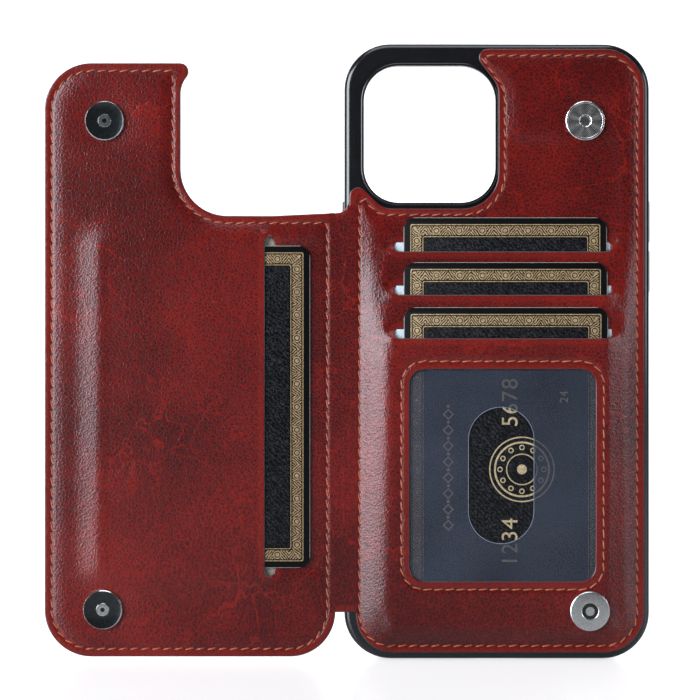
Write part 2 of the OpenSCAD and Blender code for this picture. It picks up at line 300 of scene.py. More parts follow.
# A new material, its node tree and its shader
def newMaterial(name):
    material = bpy.data.materials.new(name)
    material.use_nodes = True
    return material, material.node_tree, material.node_tree.nodes["Principled BSDF"]


# Gives each socket its value, or links it where the value is another node's output
def setInputs(tree, node, inputs):
    for socket, value in inputs.items():
        if isinstance(value, bpy.types.NodeSocket):
            tree.links.new(value, node.inputs[socket])
        else:
            node.inputs[socket].default_value = value


def addNode(tree, kind, inputs, output=0, **settings):
    node = tree.nodes.new("ShaderNode" + kind)
    for setting, value in settings.items():
        setattr(node, setting, value)
    setInputs(tree, node, inputs)
    return node.outputs[output]


def objectPlace(tree):
    return addNode(tree, "TexCoord", {}, "Object")


# A noise texture on the piece's own coordinates, with its own scale per metre
def noise(tree, scale, detail=3, stretch=(1, 1, 1)):
    stretched = addNode(tree, "Mapping", {"Vector": objectPlace(tree), "Scale": stretch})
    return addNode(tree, "TexNoise", {"Vector": stretched, "Scale": scale, "Detail": detail})


def ramp(tree, fac, stops):
    color = addNode(tree, "ValToRGB", {"Fac": fac})
    elements = color.node.color_ramp.elements
    while len(elements) < len(stops):
        elements.new(0.5)
    for element, (position, shade) in zip(elements, stops):
        element.position = position
        element.color = (*shade, 1)
    return color


# Lets a material write its sums as m("ADD", a, b)
def mathFor(tree):
    return lambda operation, *values: addNode(tree, "Math", dict(enumerate(values)), operation=operation)


# Adds up values, each times its own share
def weighted(m, *parts):
    terms = [m("MULTIPLY", value, share) for value, share in parts]
    total = terms[0]
    for term in terms[1:]:
        total = m("ADD", total, term)
    return total


def colorMix(tree, factor, first, second):
    return addNode(tree, "Mix", {"Factor": factor, 6: first, 7: second}, 2, data_type="RGBA")


# Spreads a value from 0 to 1 over a range
def spreadTo(tree, value, low, high):
    return addNode(tree, "MapRange", {"Value": value, "To Min": low, "To Max": high})


def bump(tree, height, strength, distance):
    return addNode(tree, "Bump", {"Height": height, "Strength": strength, "Distance": distance})


leatherLook = {
    "valley": (0.04, 0.0014, 0.0015),
    "dark": (0.09, 0.0033, 0.0027),
    "bright": (0.18, 0.0075, 0.0045),
    # brighter red near the cut edges: rubbed wear along the outer border, painted highlight along the slot
    # lips, the flap slit and the window
    "rubbedAndHighlit": (0.22, 0.012, 0.006, 1),
    "roughness": (0.21, 0.32),
    "patch": 26,  # colour patches per metre
    "grain": 800,  # wrinkles per metre
    "fineGrain": 3.3,  # times as many again for the finest grain
    "pebble": (1080, 0.22),  # pebbles per metre, and how wide the lines between them are
    "pebbleDrift": (260, 0.0015),  # how often the pebbles change direction, and how far, in metres
    "vein": (80, 0.032),
    "veinDrift": (95, 0.014),
    "veinPatch": 40,  # patches with veins per metre
    "bump": (0.5, 0.00011),
}


def leatherMaterial(name, look=leatherLook):
    material, tree, shader = newMaterial(name)
    m = mathFor(tree)
    place = objectPlace(tree)

    # Cells drift with a slow noise, so that they don't look like a net
    def cells(scale, wide, driftScale, reach):
        drift = addNode(tree, "TexNoise", {"Vector": place, "Scale": driftScale, "Detail": 3}, "Color")
        bent = addNode(tree, "VectorMath", {0: drift, 1: (reach, reach, reach), 2: place},
                       operation="MULTIPLY_ADD")
        toEdge = addNode(tree, "TexVoronoi", {"Vector": bent, "Scale": scale}, "Distance",
                         feature="DISTANCE_TO_EDGE")
        return m("MINIMUM", m("DIVIDE", toEdge, wide), 1.0)

    patches = noise(tree, look["patch"], 5)
    pebbles = cells(*look["pebble"], *look["pebbleDrift"])
    wrinkles = addNode(tree, "TexNoise", {
        "Vector": place, "Scale": look["grain"], "Detail": 3, "Distortion": 0.4,
    })
    ridge = m("MINIMUM", m("MULTIPLY", m("ABSOLUTE", m("SUBTRACT", wrinkles, 0.5)), 5.5), 1.0)
    fine = noise(tree, look["grain"] * look["fineGrain"], 2)
    # long thin veins, only where a slower noise lets them through
    veins = m("SUBTRACT", 1.0, cells(*look["vein"], *look["veinDrift"]))
    where = m("MULTIPLY_ADD", noise(tree, look["veinPatch"], 3), 4.0, -1.75)
    veins = m("MULTIPLY", veins, m("MINIMUM", m("MAXIMUM", where, 0.0), 1.0))
    height = weighted(m, (pebbles, -0.42), (ridge, 0.36), (fine, 0.25), (veins, 0.35))
    height = m("ADD", height, 0.55)
    tone = weighted(m, (patches, 0.74), (ridge, 0.07), (pebbles, -0.24), (veins, 0.28))
    tone = m("ADD", tone, 0.2)
    color = ramp(tree, tone, [(0.3, look["valley"]), (0.47, look["dark"]), (0.66, look["bright"])])
    # the brighter red near the cut edges: rubbed wear on the outer border, painted highlight along the slot
    # lips, the flap slit and the window
    edgeRubAndHighlight = addNode(tree, "Attribute", {}, "Fac", attribute_name="edgeRubAndHighlight")
    rubbedAndHighlit = m("MULTIPLY", edgeRubAndHighlight, m("MULTIPLY_ADD", fine, 0.8, -0.05))
    smoothest, roughest = look["roughness"]
    setInputs(tree, shader, {
        "Base Color": colorMix(tree, rubbedAndHighlit, color, look["rubbedAndHighlit"]),
        "Roughness": spreadTo(tree, height, roughest, smoothest),
        "Normal": bump(tree, height, *look["bump"]),
    })
    return material


def plainMaterial(name, color, roughness, metallic=0.0, coat=0.0, grain=900, height=0.00002, shade=0.15):
    material, tree, shader = newMaterial(name)
    cloud = noise(tree, grain, 4)
    darker = tuple(c * (1 - shade) for c in color)
    lighter = tuple(min(1, c * (1 + shade)) for c in color)
    setInputs(tree, shader, {
        "Base Color": ramp(tree, cloud, [(0.35, darker), (0.65, lighter)]),
        "Roughness": spreadTo(tree, cloud, roughness * 0.85, roughness * 1.15),
        "Metallic": metallic,
        "Coat Weight": coat,
        "Coat Roughness": 0.12,
        "Normal": bump(tree, cloud, 0.4, height),
    })
    return material


leatherRed = leatherMaterial("wine leather")
leatherBack = leatherMaterial("wine leather outside", dict(leatherLook, patch=30))
edgePaint = plainMaterial("painted edge", (0.045, 0.014, 0.018), 0.3, coat=0.4, grain=600)
threadRust = plainMaterial("waxed thread", (0.4, 0.105, 0.048), 0.55, grain=4000, height=0.00008, shade=0.4)
# painted shade: near-black flat discs drawn where the needle holes are
needleHoleShade = plainMaterial("painted needle hole shade", (0.012, 0.003, 0.003), 0.8)
shellBlack = plainMaterial("glossy shell", (0.006, 0.006, 0.007), 0.2, coat=0.4, grain=350, height=0.00001)
buttonBlack = plainMaterial("button cover", (0.012, 0.012, 0.014), 0.34, grain=2500)
liningPale = plainMaterial("pale lining", (0.6, 0.68, 0.74), 0.6, grain=4000, height=0.00004)
boardGrey = plainMaterial("fibre board", (0.4, 0.34, 0.28), 0.85, grain=1800, height=0.0001)
baseDark = plainMaterial("bonded base", (0.04, 0.011, 0.012), 0.7, grain=1500, height=0.00006)
steelSatin = plainMaterial("satin steel", (0.66, 0.66, 0.65), 0.3, metallic=1.0, grain=2600)
# also the floor of each bright snap's centre hole, as painted shade
darkSteelAndHoleShade = plainMaterial("dark plated steel and painted hole shade", (0.045, 0.05, 0.052), 0.16, metallic=0.85, grain=1400)
steelBright = plainMaterial("bright plated steel", (0.72, 0.72, 0.72), 0.18, metallic=1.0, grain=1800)
magnetGrey = plainMaterial("plated magnet", (0.06, 0.06, 0.062), 0.35, metallic=0.9, grain=1200)
print("materials made")

cardThick = 0.76


# Cards lean out of their slots. A card's own box gives its back's depth at foot and at top.
def cardPlane(node):
    low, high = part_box(node)
    foot, top = low.z / mm, high.z / mm
    atFoot = zeroY - high.y / mm
    atTop = zeroY - low.y / mm - cardThick
    return lambda z: atFoot + (atTop - atFoot) * (z - foot) / (top - foot)


cardNodes = ["card_top", "card_middle", "card_bottom"]
cardBacks = [cardPlane(node) for node in cardNodes]
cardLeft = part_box("card_top")[0].x / mm
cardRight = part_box("card_top")[1].x / mm
cardTops = [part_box(node)[1].z / mm for node in cardNodes]

pockets = {
    "lips": [108.6, 97.05, 85.5],
    "opening": 2.4,
    "left": -27.4,
    "right": 30.1,
    "floor": 8.5,
    "foot": 4.5,  # how far below the cards the leather starts to rise
    "clearance": 0.03,  # between the leather and a card
    "filmThick": 0.25,
}
window = {"left": -23.4, "right": 25.7, "low": 21.2, "high": 77.2, "radius": 3.9, "stitch": 2.2}

casePanel = [
    (foldA, 1.8, 10), (39.2, 1.8, 11), (39.2, 162.6, 11), (-7.2, 162.6, 2.3), (0.25, 152.6, 7),
    (0.25, 120.1, 9.5), (-30.4, 120.1, 6), (-39.4, 129.2, 2.4), (-39.4, 120.0, 0.3), (foldA, 119.8, 0.3),
]
caseSeam = [
    (-36.7, 3.7, 8.5), (37.2, 3.7, 9), (37.2, 160.8, 9), (-4.6, 160.8, 1), (2.0, 151.6, 7),
    (2.0, 118.4, 11), (-31.6, 118.4, 6), (-36.7, 123.8, 1),
]
flapPanel = [
    (-120.5, 0.8, 12.5), (foldB, 0.8, 12), (foldB, 118.9, 0.3), (-60, 118.1, 30), (-84.3, 118.2, 12.5),
    (-84.3, 153.0, 7), (-80.0, 158.8, 2.2), (-120.5, 158.8, 12.5),
]
flapSeam = [
    (-118.6, 2.9, 10.6), (-45.3, 2.9, 10.2), (-45.3, 116.2, 1), (-86.4, 116.2, 14.5),
    (-86.4, 156.7, 1), (-118.6, 156.7, 10.6),
]
spineLow, spineHigh = 12.6, 119.8
caseTop, caseBottom = (23.3, 143.3), (24.2, 13.4)  # middles of the snaps
flapTop, flapBottom = (-104.4, 143.3), (-104.9, 13.4)

caseOutline = roundedOutline(casePanel)
caseSeamLine = roundedOutline(caseSeam)
flapOutline = roundedOutline(flapPanel)
flapSeamLine = roundedOutline(flapSeam)


def signedInside(x, z, outline):
    points = np.column_stack([x, z])
    return distanceTo(points, outline) * np.where(isInside(points, outline), 1, -1)


farAway = 9.0  # an edge distance past which nothing changes


# Distance to the cut edge of a panel, leaving out the stretch where the spine carries on from it
def panelEdge(fold):
    def edgeOf(points, loops):
        x, z = points[:, 0], points[:, 1]
        onFold = (np.abs(x - fold) < 1.4) & (z > spineLow + 0.1) & (z < spineHigh - 0.1)
        underEar = (x < foldA + 0.4) & (x > foldB + 1) & (np.abs(z - spineHigh) < 1.2)
        return np.where(onFold | underEar, farAway, nearestEdge(points, loops))
    return edgeOf


def rimDrop(edge):
    r = leather["rim"]
    short = np.clip(r - edge, 0, r)
    return r - np.sqrt(r * r - short * short)


# How deep the thread pulls the leather down, from the distance to the seam
def groove(seam):
    return leather["groove"] * np.exp(-((seam / leather["grooveWidth"]) ** 2))


# 1 over a box and fading to 0 over a margin outside it
def overBox(x, z, left, right, low, high, margin):
    across = smooth((x - left) / margin + 1) * smooth((right - x) / margin + 1)
    return across * smooth((z - low) / margin + 1) * smooth((high - z) / margin + 1)


# Height that the cards give the leather, above its flat level
def pocketRise(x, z):
    lips, gap, floor = pockets["lips"], pockets["opening"], pockets["floor"]
    films = (0, 0, pockets["filmThick"])
    cover = [
        lambda at, back=back, film=film: back(at) + cardThick + pockets["clearance"] + film
        for back, film in zip(cardBacks, films)
    ]
    stops = [(floor - pockets["foot"], 0), (floor, cover[2](floor))]
    stops += [(lips[2], cover[2](lips[2])), (lips[2] + gap, cover[1](lips[2] + gap))]
    stops += [(lips[1], cover[1](lips[1])), (lips[1] + gap, cover[0](lips[1] + gap))]
    stops += [(lips[0], cover[0](lips[0])), (lips[0] + gap, 0)]
    at, rise = zip(*stops)
    crisp = np.interp(z, at, rise)
    soft = np.mean([np.interp(z + shift, at, rise) for shift in np.linspace(-7, 7, 15)], axis=0)
    away = np.maximum(pockets["left"] - x, x - pockets["right"])
    return crisp + (soft - crisp) * smooth(away / 3.5)


# The padding is pressed flat round each snap
def aroundSnaps(x, z, snaps):
    left = 1.0
    for at in snaps:
        left = left * (1 - 0.75 * np.exp(-((np.hypot(x - at[0], z - at[1]) / 7.5) ** 4)))
    return left


padding = {
    "case": (0.5, 4.0),  # height, and how far from the seam it takes to rise
    "flap": (0.3, 3.5),
    "outside": (0.25, 3.5),
    "seal": (1.3, 0.5),  # width of the border where the leather reaches down to what it is glued to
}


# Height of the padding at a distance inside the seam
def puff(part, seam):
    height, reach = padding[part]
    return height * smooth(seam / reach)


# The hidden face: glued down in a border of the given depth, and hollow over the rest
def hollow(x, z, edge, outline, front, depth):
    wide, fade = padding["seal"]
    outerEdge = distanceTo(np.column_stack([x, z]), outline)
    seal = -depth * smooth((wide - outerEdge) / fade)
    lifted = front(x, z, edge + farAway) - leather["thick"]
    return np.where(outerEdge < wide, seal, np.maximum(lifted, 0))


windowOutline = roundedBox(window["left"], window["low"], window["right"], window["high"], window["radius"])
windowSeamLine = resample(offsetOutline(windowOutline, -window["stitch"]), 0.9)


def caseFront(x, z, edge):
    seam = signedInside(x, z, caseSeamLine)
    across = np.minimum(x - caseSeam[0][0], caseSeam[1][0] - x)
    rise = pocketRise(x, z) * slope(across / 8.2)
    # flat where the cards lie and where the top one slides out
    pressed = overBox(x, z, cardLeft - 1, cardRight + 1, -50, cardTops[0] + 18.5, 5)
    padded = puff("case", seam) * (1 - pressed) * aroundSnaps(x, z, (caseTop, caseBottom))
    grooves = groove(seam) + groove(signedInside(x, z, windowSeamLine))
    return leather["thick"] + rise + padded - grooves - rimDrop(edge)


def caseUnder(x, z, edge):
    return hollow(x, z, edge, caseOutline, caseFront, 0.5)


# The radius of a slot's round ends, a hair short of half its width so that the arcs don't meet
def endRadius(width):
    return width / 2 - 0.01


def slotOutline(lip):
    opening = pockets["opening"]
    return roundedBox(pockets["left"], lip, pockets["right"], lip + opening, endRadius(opening), 0.7)


def caseFrontLeather():
    holes = [slotOutline(lip) for lip in pockets["lips"]] + [windowOutline]
    obj = cutSheet("case_front", caseOutline, holes, caseFront, caseUnder, panelEdge(foldA))
    addMaterials(obj, leatherRed, edgePaint)
    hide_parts("case_front_leather")
    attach(obj, "case")


base = {"inset": 0.35, "front": -0.02, "back": -0.5, "rings": [0.5, 1.5], "step": 6}


def caseBase():
    outline = offsetOutline(caseOutline, base["inset"])
    obj = cutSheet("case_base", outline, [], lambda x, z, edge: 0 * x + base["front"],
                   lambda x, z, edge: 0 * x + base["back"], rings=base["rings"], step=base["step"])
    addMaterials(obj, baseDark, baseDark)
    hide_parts("case_base_panel")
    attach(obj, "case")


caseFrontLeather()
caseBase()
print("case leather made")

flapPocket = {
    "left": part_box("flap_card")[0].x / mm,
    "slit": -61.8,
    "opening": 2.4,
    "low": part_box("flap_card")[0].z / mm,
    "high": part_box("flap_card")[1].z / mm,
    "rise": 1.27,
}
boardThick = 0.6


# Over the flap's pocket the leather rises to the card, and drops again past the slit
def flapFront(x, z, edge):
    seam = signedInside(x, z, flapSeamLine)
    p = flapPocket
    left, slit = p["left"], p["slit"]
    across = np.interp(x, [left - 9.5, left + 0.5, slit, slit + p["opening"]], [0, 1, 1, 0])
    away = np.maximum(p["low"] - 2.5 - z, z - p["high"] - 2.5)
    softAcross = np.interp(x, [left - 9, left + 1, slit - 6, slit + 5], [0, 1, 1, 0])
    across = across + (softAcross - across) * smooth(away / 3)
    upright = smooth((z - p["low"] + 9) / 10) * smooth((p["high"] + 9 - z) / 10)
    rise = p["rise"] * smooth(across) * upright
    pressed = overBox(x, z, left, foldB + 5, p["low"] - 0.5, p["high"] + 0.5, 2.0)
    padded = puff("flap", seam) * (1 - pressed) * aroundSnaps(x, z, (flapTop, flapBottom))
    return leather["thick"] + rise + padded - groove(seam) - rimDrop(edge)


def flapUnder(x, z, edge):
    return hollow(x, z, edge, flapOutline, flapFront, 0.3)


def flapOuterFace(x, z, edge):
    seam = signedInside(x, z, flapSeamLine)
    return -boardThick - leather["thick"] - puff("outside", seam) + groove(seam) + rimDrop(edge)


# The two leathers meet in the middle of the flap's thickness, all round the board
def flapOuterInside(x, z, edge):
    return -0.3 - 0.3 * smooth((edge - 0.8) / 0.5)


def flapLeathers():
    p = flapPocket
    past = 2.2  # how far the slit goes past the card's ends
    slit = roundedBox(p["slit"], p["low"] - past, p["slit"] + p["opening"], p["high"] + past,
                      endRadius(p["opening"]), 0.7)
    inner = cutSheet("flap_inside", flapOutline, [slit], flapFront, flapUnder, panelEdge(foldB))
    outer = cutSheet("flap_outside", flapOutline, [], flapOuterInside, flapOuterFace, panelEdge(foldB))
    for obj, red, node in (
        (inner, leatherRed, "flap_inner_leather"), (outer, leatherBack, "flap_outer_leather"),
    ):
        addMaterials(obj, red, edgePaint)
        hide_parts(node)
        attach(obj, "flap")


flapLeathers()
print("flap leather made")

# The spine's leather is two strips, one from each fold, that meet in its middle
hinge = {
    "overlap": 1.6,
    "waveX": 0.8,  # from one small crease to the next
    "waveDeep": 0.05,
    "backOfFlap": -1.05,
    "backOfSpine": -0.45,
    "flapTop": 118.9,
    "ear": -39.4,  # where the case's ear starts
    "curl": 2.9,
    "tuck": 0.04,  # how deep the case strip's end lies under the flap strip
    "under": 0.3,
    "rings": [0.1, 0.3],
    "step": 0.6,
}


def hingeFront(x, z, edge):
    waves = np.sin(x / hinge["waveX"] * 2 * math.pi + 0.5 * np.sin(z / 9)) * hinge["waveDeep"]
    waves *= smooth((x - foldB) / 0.7) * smooth((foldA - x) / 0.7)
    return leather["thick"] + waves - rimDrop(edge)


def hingeBack(x, z, edge):
    toFlap = smooth((foldB + 1.0 - x) / 1.0)
    return hinge["backOfSpine"] + (hinge["backOfFlap"] - hinge["backOfSpine"]) * toFlap + rimDrop(edge)


# The top of the spine curves up from the flap to the ear on the case
def spineTop(x):
    return hinge["flapTop"] + hinge["curl"] * np.clip((x - foldB) / (hinge["ear"] - foldB), 0, 1) ** 3


# Only the strip's two ends are cut edges, and none where it runs under the ear
def stripEdge(points, loops):
    x, z = points[:, 0], points[:, 1]
    fromTop = np.where(x > hinge["ear"] - 0.05, farAway, spineTop(x) - z)
    return np.maximum(np.minimum(z - spineLow, fromTop), 0)


def hingeStrip(name, left, right, node, front, back):
    ends = min(right, hinge["ear"])
    top = [(x, spineTop(x)) for x in np.linspace(left, ends, 8)][::-1]
    if right > ends:
        top = [(right, spineHigh), (ends, spineHigh)] + top
    outline = resample(np.array([(left, spineLow), (right, spineLow)] + top, float), hinge["step"])
    obj = cutSheet(name, outline, [], front, back, stripEdge, hinge["rings"], hinge["step"])
    addMaterials(obj, leatherRed, edgePaint)
    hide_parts(node)
    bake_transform(obj)


spineMiddle = (foldA + foldB) / 2


# The case strip's end is tucked a hair inside the flap strip
def tucked(x):
    return hinge["tuck"] * (x < spineMiddle - 0.01)


hingeStrip("case_hinge", spineMiddle - hinge["under"], foldA,
           "spine_inner_leather",
           lambda x, z, edge: hingeFront(x, z, edge) - tucked(x),
           lambda x, z, edge: hingeBack(x, z, edge) + tucked(x))
hingeStrip("flap_hinge", foldB, spineMiddle,
           "spine_outer_leather", hingeFront, hingeBack)
print("hinge made")

stitch = {
    "length": 2.6,
    "radius": 0.22,
    "slant": 0.1,
    "dip": 0.22,  # how far its ends go down into the leather
    "taper": 0.45,
    "sides": 6,
    "rings": 5,
    "holePlace": (0.57, 1.2),  # along and across, in stitch lengths and slants
    "hole": (0.2, 0.28),
    "holeLift": 0.03,
}


# Stitches laid along a seam; face(x, z) is the depth of the leather, and outward is -1 on its back
def stitches(name, seam, face, body, node, slant=stitch["slant"], outward=1, lift=0.02):
    places, ways = evenly(seam, leather["pitch"])
    sideways = np.column_stack([-ways[:, 1], ways[:, 0]])
    sides, rings = stitch["sides"], stitch["rings"]
    points, faces = [], []
    turn = 2 * math.pi * np.arange(sides) / sides
    for t in np.linspace(-1, 1, rings):
        centre = places + (ways / 2 + sideways * slant) * t * stitch["length"]
        depth = face(centre[:, 0], centre[:, 1]) + outward * (lift - stitch["dip"] * t ** 4)
        swell = stitch["radius"] * (1 - stitch["taper"] * t ** 4)
        for a in turn:
            across = sideways * math.cos(a) * swell
            points.append(np.column_stack([
                centre[:, 0] + across[:, 0], zeroY - depth - math.sin(a) * swell * outward,
                centre[:, 1] + across[:, 1],
            ]))
    # the needle's hole, at one end of each stitch: a flat near-black disc, painted shade standing for the
    # hole
    ahead, aside = stitch["holePlace"]
    hole = places + (ways * ahead + sideways * slant * aside) * stitch["length"]
    depth = face(hole[:, 0], hole[:, 1]) + stitch["holeLift"] * outward
    along, wide = stitch["hole"]
    for a in turn:
        spot = hole + ways * math.cos(a) * along + sideways * math.sin(a) * wide
        points.append(np.column_stack([spot[:, 0], zeroY - depth, spot[:, 1]]))
    count = len(places)
    points = np.stack(points, axis=1).reshape(-1, 3)
    size = sides * (rings + 1)
    holeShadeMarks = []
    for first in range(0, count * size, size):
        for ring in range(rings - 1):
            for k in range(sides):
                a = first + ring * sides + k
                b = first + ring * sides + (k + 1) % sides
                faces.append((a, b, b + sides, a + sides))
        for ring in (0, rings - 1, rings):
            faces.append(tuple(first + ring * sides + k for k in range(sides)))
        # the last face of each stitch, the hole's disc, takes the painted hole shade
        holeShadeMarks += [0] * (len(faces) - len(holeShadeMarks) - 1) + [1]
    obj = meshObject(name, np.array(points) * mm, faces)
    addMaterials(obj, threadRust, needleHoleShade)
    obj.data.polygons.foreach_set("material_index", holeShadeMarks)
    smoothShade(obj, 60)
    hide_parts(node)
    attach(obj, body)


def faceOf(front):
    return lambda x, z: front(x, z, np.full(len(x), farAway))


stitches("case_stitches", caseSeamLine, faceOf(caseFront), "case", "case_stitching")
stitches("window_stitches", windowSeamLine, faceOf(caseFront), "case", "window_stitching", 0.05, lift=0.08)
stitches("flap_stitches_inside", flapSeamLine, faceOf(flapFront), "flap", "flap_stitching")
stitches("flap_stitches_outside", flapSeamLine, faceOf(flapOuterFace), "flap", "flap_stitching",
         outward=-1, lift=0.08)
print("stitching made")

shell = {
    "wall": 1.6,
    "lip": 1.2,
    "lipThick": 1.0,
    "radius": 12.3,
    "backRound": 1.7,
    "frontRound": 0.32,
    "camera": (-18, 139.8, 35, 36.4, 9.3),  # x, z, width, height, corner
    "rim": (0.8, 1.0, 0.3),  # width, how far it stands out, rounding
    "ports": ((0, 13, 5.6), (20, 15, 3), (-20, 15, 3)),  # x, width, height of each hole in the bottom
    "mute": (131.4, 4.6, 9),  # z, width, height of the hole in the side
    "holeRound": 1.45,
    "seat": 0.4,  # room behind a button
    "seatGap": 0.3,  # and round it
}
buttons = ("power_button", "volume_up_button", "volume_down_button")


# Selects the vertices, edges or faces for which test(item) is true, and stays in edit mode
def pick(obj, kind, test):
    bpy.ops.object.mode_set(mode="EDIT")
    bpy.ops.mesh.select_mode(type={"vertices": "VERT", "edges": "EDGE", "polygons": "FACE"}[kind])
    bpy.ops.mesh.select_all(action="DESELECT")
    bpy.ops.object.mode_set(mode="OBJECT")
    for item in getattr(obj.data, kind):
        item.select = test(item)
    bpy.ops.object.mode_set(mode="EDIT")


# Rounds the edges whose two ends a and b pass test(a, b)
def roundEdges(obj, test, radius, segments):
    points = obj.data.vertices
    pick(obj, "edges", lambda e: test(*(points[k].co for k in e.vertices)))
    bpy.ops.mesh.bevel(offset=radius * mm, segments=segments, affect="EDGES")
    bpy.ops.object.mode_set(mode="OBJECT")


# A block from its middle and size in mm
def block(name, middle, size):
    deselectAll()
    bpy.ops.mesh.primitive_cube_add(size=1, location=Vector(middle) * mm)
    obj = bpy.context.object
    obj.name = name
    obj.scale = Vector(size) * mm
    bpy.ops.object.transform_apply(location=True, rotation=True, scale=True)
    return obj


# The same with its edges along Y rounded
def roundedBlock(name, middle, size, radius, segments=14):
    obj = block(name, middle, size)
    roundEdges(obj, lambda a, b: abs(a.x - b.x) < 1e-6 and abs(a.z - b.z) < 1e-6, radius, segments)
    return obj


# Rounds the outline of a block's face that looks along an axis ("x" or "y"), facing -1 or 1
def roundRim(obj, axis, facing, radius, segments, near=1e-6):
    at = max(getattr(p.co, axis) * facing for p in obj.data.vertices) - near
    roundEdges(obj, lambda *ends: all(getattr(p, axis) * facing > at for p in ends), radius, segments)


def booleanWith(obj, other, operation):
    choose(obj)
    change = obj.modifiers.new("cut", "BOOLEAN")
    change.operation = operation
    change.solver = "EXACT"
    change.object = other
    bpy.ops.object.modifier_apply(modifier=change.name)
    bpy.data.objects.remove(other)


def makeShell():
    low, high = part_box("tpu_shell")
    width, height = (high.x - low.x) / mm, high.z / mm
    depth = high.y / mm - shellBackY
    obj = roundedBlock("shell", (0, shellBackY + depth / 2, height / 2), (width, depth, height),
                       shell["radius"])
    roundRim(obj, "y", -1, shell["backRound"], 5)
    mouth = shell["wall"] + shell["lip"]
    pick(obj, "polygons", lambda f: f.normal.y > 0.9 and f.area > 0.005)
    bpy.ops.mesh.inset(thickness=mouth * mm)
    bpy.ops.mesh.extrude_region_move(TRANSFORM_OT_translate={"value": (0, -shell["lipThick"] * mm, 0)})
    bpy.ops.mesh.extrude_region_move(TRANSFORM_OT_translate={"value": (0, 0, 0)})
    grow = [(side - 2 * shell["wall"]) / (side - 2 * mouth) for side in (width, height)]
    bpy.ops.transform.resize(value=(grow[0], 1, grow[1]), center_override=(0, 0, height / 2 * mm))
    toFloor = depth + shellBackY - shell["lipThick"]
    bpy.ops.mesh.extrude_region_move(TRANSFORM_OT_translate={"value": (0, -toFloor * mm, 0)})
    bpy.ops.object.mode_set(mode="OBJECT")
    roundRim(obj, "y", 1, shell["frontRound"], 3)
    # the ports, the mute switch's hole, and a seat for each button
    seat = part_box("power_button")
    buttonY = (seat[0].y + seat[1].y) / 2 / mm
    cutters = [(block("cut", (x, buttonY, 0), (wide, tall, 6)), "z") for x, wide, tall in shell["ports"]]
    muteZ, muteWide, muteTall = shell["mute"]
    cutters.append((block("cut", (high.x / mm, buttonY, muteZ), (6, muteWide, muteTall)), "x"))
    for cutter, axis in cutters:
        choose(cutter)
        other = "z" if axis == "x" else "x"
        roundEdges(cutter, lambda a, b: abs(a.y - b.y) < 1e-6 and abs(getattr(a - b, other)) < 1e-6,
                   shell["holeRound"], 6)
        booleanWith(obj, cutter, "DIFFERENCE")
    for node in buttons:
        low, high = (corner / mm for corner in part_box(node))
        side = 1 if high.x > 0 else -1
        inner = min(abs(low.x), abs(high.x)) - shell["seat"]
        middle, size = (low + high) / 2, high - low
        gap = shell["seatGap"]
        cutter = block("cut", (side * (inner + 3), middle.y, middle.z), (6, size.y + gap, size.z + gap))
        booleanWith(obj, cutter, "DIFFERENCE")
    x, z, w, h, r = shell["camera"]
    wide, out, rounding = shell["rim"]
    rim = roundedBlock("rim", (x, shellBackY - out / 2 + 0.3, z),
                       (w + 2 * wide, out + 0.6, h + 2 * wide), r + wide, 12)
    roundRim(rim, "y", -1, rounding, 3)
    booleanWith(obj, rim, "UNION")
    booleanWith(obj, roundedBlock("cut", (x, 0, z), (w, 8, h), r, 12), "DIFFERENCE")
    obj.data.materials.clear()
    obj.data.materials.append(shellBlack)
    smoothShade(obj, 35)
    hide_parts("tpu_shell")
    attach(obj, "case")


# A button is a rounded bar that stands a little out of the side
def makeButton(node):
    low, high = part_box(node)
    middle = (low + high) / 2 / mm
    obj = block(node + "_cover", middle, (high - low) / mm)
    roundRim(obj, "x", 1 if middle.x > 0 else -1, 0.4, 4, near=2e-4)
    obj.data.materials.append(buttonBlack)
    smoothShade(obj, 40)
    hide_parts(node)
    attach(obj, node)


makeShell()
for node in buttons:
    makeButton(node)
print("shell made")

# Each snap is a disc turned from a cylinder, its face worked in steps of (inset, push)
snap = {
    "radius": 5.2,
    "tall": 0.99,  # before its face is worked
    "base": 0.45,
    "lean": 0.8,  # degrees that the lower one leans back over the padding
    "rim": 4.9,  # a dark snap is bright from here out
    "eye": (1.0, 1.85),  # and between these distances from its middle
    "hole": (2.12, 0.86),  # a bright one's centre hole is dark inside this radius, above this depth: painted shade on the hole's floor
    "facets": 8,
    "hatch": 0.00028,  # spacing of the cross-hatching, in metres
}
capSteps = {
    "faceted": [(0.22, 0.16), (0.3, 0.0), (0.12, -0.1), (2.86, 0.03), (0.2, -0.12), (0.3, 0.0), (0.06, -0.5)],
    "plain": [(0.2, 0.15), (0.3, 0.06), (2.4, 0.04), (0.12, -0.06), (0.1, -0.5)],
    "dark": [(0.2, 0.2), (0.2, -0.06), (3.02, -0.12), (0.14, 0.18), (0.4, 0.02), (0.1, -0.5)],
}


def turnedDisc(name, x, z, base, steps, lean):
    deselectAll()
    tall = snap["tall"]
    bpy.ops.mesh.primitive_cylinder_add(
        vertices=64, radius=snap["radius"] * mm, depth=tall * mm,
        location=(x * mm, (zeroY - base - tall / 2) * mm, z * mm), rotation=(math.radians(90), 0, 0))
    obj = bpy.context.object
    obj.name = name
    bpy.ops.object.transform_apply(location=True, rotation=True, scale=True)
    pick(obj, "polygons", lambda f: f.normal.y < -0.9)
    for inset, push in steps:
        bpy.ops.mesh.inset(thickness=inset * mm)
        bpy.ops.transform.translate(value=(0, -push * mm, 0))
    bpy.ops.mesh.select_all(action="SELECT")
    bpy.ops.transform.rotate(value=-math.radians(lean), orient_axis="X",
                             center_override=(x * mm, (zeroY - base) * mm, z * mm))
    bpy.ops.object.mode_set(mode="OBJECT")
    return obj


